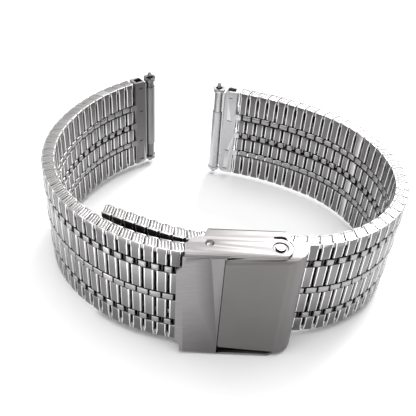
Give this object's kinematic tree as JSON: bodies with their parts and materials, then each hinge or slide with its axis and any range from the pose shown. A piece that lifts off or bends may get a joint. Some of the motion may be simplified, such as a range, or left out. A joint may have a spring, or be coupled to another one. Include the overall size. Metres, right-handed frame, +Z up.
{
  "type": "watch band",
  "caption": "Closed watch band of folded metal links and beads with a fold-over sliding clasp and sprung ends for a watch case.",
  "frame": {"origin": "middle of the closed loop's box, on the plane that the clasp's side edge stands on", "axes": "+X to the right along the clasp seen from its outer face, +Y from the clasp to the ends for the watch case, +Z up along the hinge pins"},
  "size_m": [0.063, 0.0538, 0.0231],
  "materials": {
    "brushed_band": "brushed",
    "brushed_clasp": "brushed",
    "polished_parts": "polished",
    "spring_wire": "satin"
  },
  "bodies": {
    "clasp": {"clasp_base": "brushed_clasp", "catch_bar": "polished_parts", "hinge_pin": "polished_parts", "held_links": "brushed_band"},
    "cover": {"safety_cover": "brushed_clasp"},
    "lock": {"lock_plate": "brushed_clasp"},
    "hook": {"hook_link": "brushed_clasp"},
    "left_end": {"left_end_link": "brushed_band", "left_bar_barrel": "polished_parts", "left_bar_spring": "spring_wire"},
    "left_sleeve": {"left_sleeve": "brushed_band"},
    "left_tip_low": {"left_plunger_low": "polished_parts"},
    "left_tip_high": {"left_plunger_high": "polished_parts"},
    "right_end": {"right_end_link": "brushed_band", "right_bar_barrel": "polished_parts", "right_bar_spring": "spring_wire"},
    "right_sleeve": {"right_sleeve": "brushed_band"},
    "right_tip_low": {"right_plunger_low": "polished_parts"},
    "right_tip_high": {"right_plunger_high": "polished_parts"},
    "body_left_01": {"left_01": "brushed_band"},
    "body_left_02": {"left_02": "brushed_band"},
    "body_left_03": {"left_03": "brushed_band"},
    "body_left_04": {"left_04": "brushed_band"},
    "body_left_05": {"left_05": "brushed_band"},
    "body_left_06": {"left_06": "brushed_band"},
    "body_left_07": {"left_07": "brushed_band"},
    "body_left_08": {"left_08": "brushed_band"},
    "body_left_09": {"left_09": "brushed_band"},
    "body_left_10": {"left_10": "brushed_band"},
    "body_left_11": {"left_11": "brushed_band"},
    "body_left_12": {"left_12": "brushed_band"},
    "body_left_13": {"left_13": "brushed_band"},
    "body_left_14": {"left_14": "brushed_band"},
    "body_left_15": {"left_15": "brushed_band"},
    "body_left_16": {"left_16": "brushed_band"},
    "body_right_01": {"right_01": "brushed_band"},
    "body_right_02": {"right_02": "brushed_band"},
    "body_right_03": {"right_03": "brushed_band"},
    "body_right_04": {"right_04": "brushed_band"},
    "body_right_05": {"right_05": "brushed_band"},
    "body_right_06": {"right_06": "brushed_band"},
    "body_right_07": {"right_07": "brushed_band"},
    "body_right_08": {"right_08": "brushed_band"},
    "body_right_09": {"right_09": "brushed_band"},
    "body_right_10": {"right_10": "brushed_band"},
    "body_right_11": {"right_11": "brushed_band"},
    "body_right_12": {"right_12": "brushed_band"},
    "body_right_13": {"right_13": "brushed_band"},
    "body_right_14": {"right_14": "brushed_band"},
    "body_right_15": {"right_15": "brushed_band"},
    "body_right_16": {"right_16": "brushed_band"},
    "body_right_17": {"right_17": "brushed_band"},
    "body_tail_1": {"tail_1": "brushed_band"},
    "body_tail_2": {"tail_2": "brushed_band"},
    "body_tail_3": {"tail_3": "brushed_band"},
    "body_tail_4": {"tail_4": "brushed_band"}
  },
  "joints": [
    {"name": "cover_hinge", "type": "hinge", "parent": "clasp", "child": "cover", "pos_m": [0.0077, -0.02495, 0.01155], "axis": [0, 0, 1], "range_deg": [0, 110]},
    {"name": "lock_rock", "type": "hinge", "parent": "clasp", "child": "lock", "pos_m": [0.0077, -0.02495, 0.01155], "axis": [0, 0, -1], "range_deg": [0, 10]},
    {"name": "hook_turn", "type": "hinge", "parent": "clasp", "child": "hook", "pos_m": [-0.0025, -0.02432, 0.01155], "axis": [0, 0, -1], "range_deg": [-8, 1]},
    {"name": "left_sleeve_slide", "type": "slide", "parent": "left_end", "child": "left_sleeve", "axis": [0, 0, 1], "range_m": [-0.0033, 0.0014]},
    {"name": "right_sleeve_slide", "type": "slide", "parent": "right_end", "child": "right_sleeve", "axis": [0, 0, 1], "range_m": [0, 0.00475]},
    {"name": "left_tip_low_press", "type": "slide", "parent": "left_end", "child": "left_tip_low", "axis": [0, 0, 1], "range_m": [0, 0.0009], "stiffness_N_per_m": 300, "springref_m": -0.0008},
    {"name": "left_tip_high_press", "type": "slide", "parent": "left_end", "child": "left_tip_high", "axis": [0, 0, -1], "range_m": [0, 0.0009], "stiffness_N_per_m": 300, "springref_m": -0.0008, "deforming": ["left_bar_spring"]},
    {"name": "right_tip_low_press", "type": "slide", "parent": "right_end", "child": "right_tip_low", "axis": [0, 0, 1], "range_m": [0, 0.0009], "stiffness_N_per_m": 300, "springref_m": -0.0008},
    {"name": "right_tip_high_press", "type": "slide", "parent": "right_end", "child": "right_tip_high", "axis": [0, 0, -1], "range_m": [0, 0.0009], "stiffness_N_per_m": 300, "springref_m": -0.0008, "deforming": ["right_bar_spring"]},
    {"name": "left_01_bend", "type": "hinge", "parent": "hook", "child": "body_left_01", "pos_m": [-0.00567, -0.02407, 0.01155], "axis": [0, 0, -1], "range_deg": [-12, 1.5]},
    {"name": "left_02_bend", "type": "hinge", "parent": "body_left_01", "child": "body_left_02", "pos_m": [-0.00962, -0.02348, 0.01155], "axis": [0, 0, -1], "range_deg": [-8, 2]},
    {"name": "left_03_bend", "type": "hinge", "parent": "body_left_02", "child": "body_left_03", "pos_m": [-0.01344, -0.02232, 0.01155], "axis": [0, 0, -1], "range_deg": [-8, 2]},
    {"name": "left_04_bend", "type": "hinge", "parent": "body_left_03", "child": "body_left_04", "pos_m": [-0.01706, -0.02063, 0.01155], "axis": [0, 0, -1], "range_deg": [-8, 2]},
    {"name": "left_05_bend", "type": "hinge", "parent": "body_left_04", "child": "body_left_05", "pos_m": [-0.02041, -0.01845, 0.01155], "axis": [0, 0, -1], "range_deg": [-8, 2]},
    {"name": "left_06_bend", "type": "hinge", "parent": "body_left_05", "child": "body_left_06", "pos_m": [-0.02343, -0.01583, 0.01155], "axis": [0, 0, -1], "range_deg": [-9, 1.5]},
    {"name": "left_07_bend", "type": "hinge", "parent": "body_left_06", "child": "body_left_07", "pos_m": [-0.02603, -0.0128, 0.01155], "axis": [0, 0, -1], "range_deg": [-10, 1.5]},
    {"name": "left_08_bend", "type": "hinge", "parent": "body_left_07", "child": "body_left_08", "pos_m": [-0.02807, -0.00937, 0.01155], "axis": [0, 0, -1], "range_deg": [-10, 1.5]},
    {"name": "left_09_bend", "type": "hinge", "parent": "body_left_08", "child": "body_left_09", "pos_m": [-0.02948, -0.00563, 0.01155], "axis": [0, 0, -1], "range_deg": [-10, 1.5]},
    {"name": "left_10_bend", "type": "hinge", "parent": "body_left_09", "child": "body_left_10", "pos_m": [-0.03023, -0.00171, 0.01155], "axis": [0, 0, -1], "range_deg": [-10, 1.5]},
    {"name": "left_11_bend", "type": "hinge", "parent": "body_left_10", "child": "body_left_11", "pos_m": [-0.03028, 0.00228, 0.01155], "axis": [0, 0, -1], "range_deg": [-10, 1.5]},
    {"name": "left_12_bend", "type": "hinge", "parent": "body_left_11", "child": "body_left_12", "pos_m": [-0.02964, 0.00623, 0.01155], "axis": [0, 0, -1], "range_deg": [-7.5, 2.5]},
    {"name": "left_13_bend", "type": "hinge", "parent": "body_left_12", "child": "body_left_13", "pos_m": [-0.02842, 0.01003, 0.01155], "axis": [0, 0, -1], "range_deg": [-7.5, 2.5]},
    {"name": "left_14_bend", "type": "hinge", "parent": "body_left_13", "child": "body_left_14", "pos_m": [-0.02672, 0.01365, 0.01155], "axis": [0, 0, -1], "range_deg": [-7.5, 2.5]},
    {"name": "left_15_bend", "type": "hinge", "parent": "body_left_14", "child": "body_left_15", "pos_m": [-0.02457, 0.01701, 0.01155], "axis": [0, 0, -1], "range_deg": [-7.5, 2.5]},
    {"name": "left_16_bend", "type": "hinge", "parent": "body_left_15", "child": "body_left_16", "pos_m": [-0.02199, 0.02007, 0.01155], "axis": [0, 0, -1], "range_deg": [-7.5, 2.5]},
    {"name": "left_end_bend", "type": "hinge", "parent": "body_left_16", "child": "left_end", "pos_m": [-0.01903, 0.02276, 0.01155], "axis": [0, 0, -1], "range_deg": [-3.75, 6.25]},
    {"name": "right_01_bend", "type": "hinge", "parent": "clasp", "child": "body_right_01", "pos_m": [0.0116, -0.02147, 0.01155], "axis": [0, 0, 1], "range_deg": [-5, 1.5]},
    {"name": "right_02_bend", "type": "hinge", "parent": "body_right_01", "child": "body_right_02", "pos_m": [0.01556, -0.02098, 0.01155], "axis": [0, 0, 1], "range_deg": [-11.4, 1.5]},
    {"name": "right_03_bend", "type": "hinge", "parent": "body_right_02", "child": "body_right_03", "pos_m": [0.01935, -0.01971, 0.01155], "axis": [0, 0, 1], "range_deg": [-11.4, 1.5]},
    {"name": "right_04_bend", "type": "hinge", "parent": "body_right_03", "child": "body_right_04", "pos_m": [0.0228, -0.01772, 0.01155], "axis": [0, 0, 1], "range_deg": [-11.4, 1.5]},
    {"name": "right_05_bend", "type": "hinge", "parent": "body_right_04", "child": "body_right_05", "pos_m": [0.0258, -0.01508, 0.01155], "axis": [0, 0, 1], "range_deg": [-13.4, 1.5]},
    {"name": "right_06_bend", "type": "hinge", "parent": "body_right_05", "child": "body_right_06", "pos_m": [0.02815, -0.01186, 0.01155], "axis": [0, 0, 1], "range_deg": [-13.4, 1.5]},
    {"name": "right_07_bend", "type": "hinge", "parent": "body_right_06", "child": "body_right_07", "pos_m": [0.02968, -0.00818, 0.01155], "axis": [0, 0, 1], "range_deg": [-13.4, 1.5]},
    {"name": "right_08_bend", "type": "hinge", "parent": "body_right_07", "child": "body_right_08", "pos_m": [0.03032, -0.00424, 0.01155], "axis": [0, 0, 1], "range_deg": [-13.4, 1.5]},
    {"name": "right_09_bend", "type": "hinge", "parent": "body_right_08", "child": "body_right_09", "pos_m": [0.03003, -0.00026, 0.01155], "axis": [0, 0, 1], "range_deg": [-9.8, 1.5]},
    {"name": "right_10_bend", "type": "hinge", "parent": "body_right_09", "child": "body_right_10", "pos_m": [0.02897, 0.00359, 0.01155], "axis": [0, 0, 1], "range_deg": [-9.8, 1.5]},
    {"name": "right_11_bend", "type": "hinge", "parent": "body_right_10", "child": "body_right_11", "pos_m": [0.02728, 0.0072, 0.01155], "axis": [0, 0, 1], "range_deg": [-9.8, 1.5]},
    {"name": "right_12_bend", "type": "hinge", "parent": "body_right_11", "child": "body_right_12", "pos_m": [0.02499, 0.01048, 0.01155], "axis": [0, 0, 1], "range_deg": [-9.8, 1.5]},
    {"name": "right_13_bend", "type": "hinge", "parent": "body_right_12", "child": "body_right_13", "pos_m": [0.02218, 0.01332, 0.01155], "axis": [0, 0, 1], "range_deg": [-9.8, 1.5]},
    {"name": "right_14_bend", "type": "hinge", "parent": "body_right_13", "child": "body_right_14", "pos_m": [0.01893, 0.01563, 0.01155], "axis": [0, 0, 1], "range_deg": [-4.4, 5.6]},
    {"name": "right_15_bend", "type": "hinge", "parent": "body_right_14", "child": "body_right_15", "pos_m": [0.01543, 0.01757, 0.01155], "axis": [0, 0, 1], "range_deg": [-4.4, 5.6]},
    {"name": "right_16_bend", "type": "hinge", "parent": "body_right_15", "child": "body_right_16", "pos_m": [0.0118, 0.01924, 0.01155], "axis": [0, 0, 1], "range_deg": [-4.4, 5.6]},
    {"name": "right_17_bend", "type": "hinge", "parent": "body_right_16", "child": "body_right_17", "pos_m": [0.00805, 0.02063, 0.01155], "axis": [0, 0, 1], "range_deg": [-4.4, 5.6]},
    {"name": "right_end_bend", "type": "hinge", "parent": "body_right_17", "child": "right_end", "pos_m": [0.0042, 0.02172, 0.01155], "axis": [0, 0, 1], "range_deg": [-2.2, 7.8]},
    {"name": "tail_1_bend", "type": "hinge", "parent": "clasp", "child": "body_tail_1", "pos_m": [-0.0034, -0.02147, 0.01155], "axis": [0, 0, -1], "range_deg": [-1, 2]},
    {"name": "tail_2_bend", "type": "hinge", "parent": "body_tail_1", "child": "body_tail_2", "pos_m": [-0.00733, -0.02081, 0.01155], "axis": [0, 0, -1], "range_deg": [-1, 5]},
    {"name": "tail_3_bend", "type": "hinge", "parent": "body_tail_2", "child": "body_tail_3", "pos_m": [-0.01108, -0.01943, 0.01155], "axis": [0, 0, -1], "range_deg": [-1, 9]},
    {"name": "tail_4_bend", "type": "hinge", "parent": "body_tail_3", "child": "body_tail_4", "pos_m": [-0.01477, -0.01788, 0.01155], "axis": [0, 0, -1], "range_deg": [-1, 10]}
  ]
}
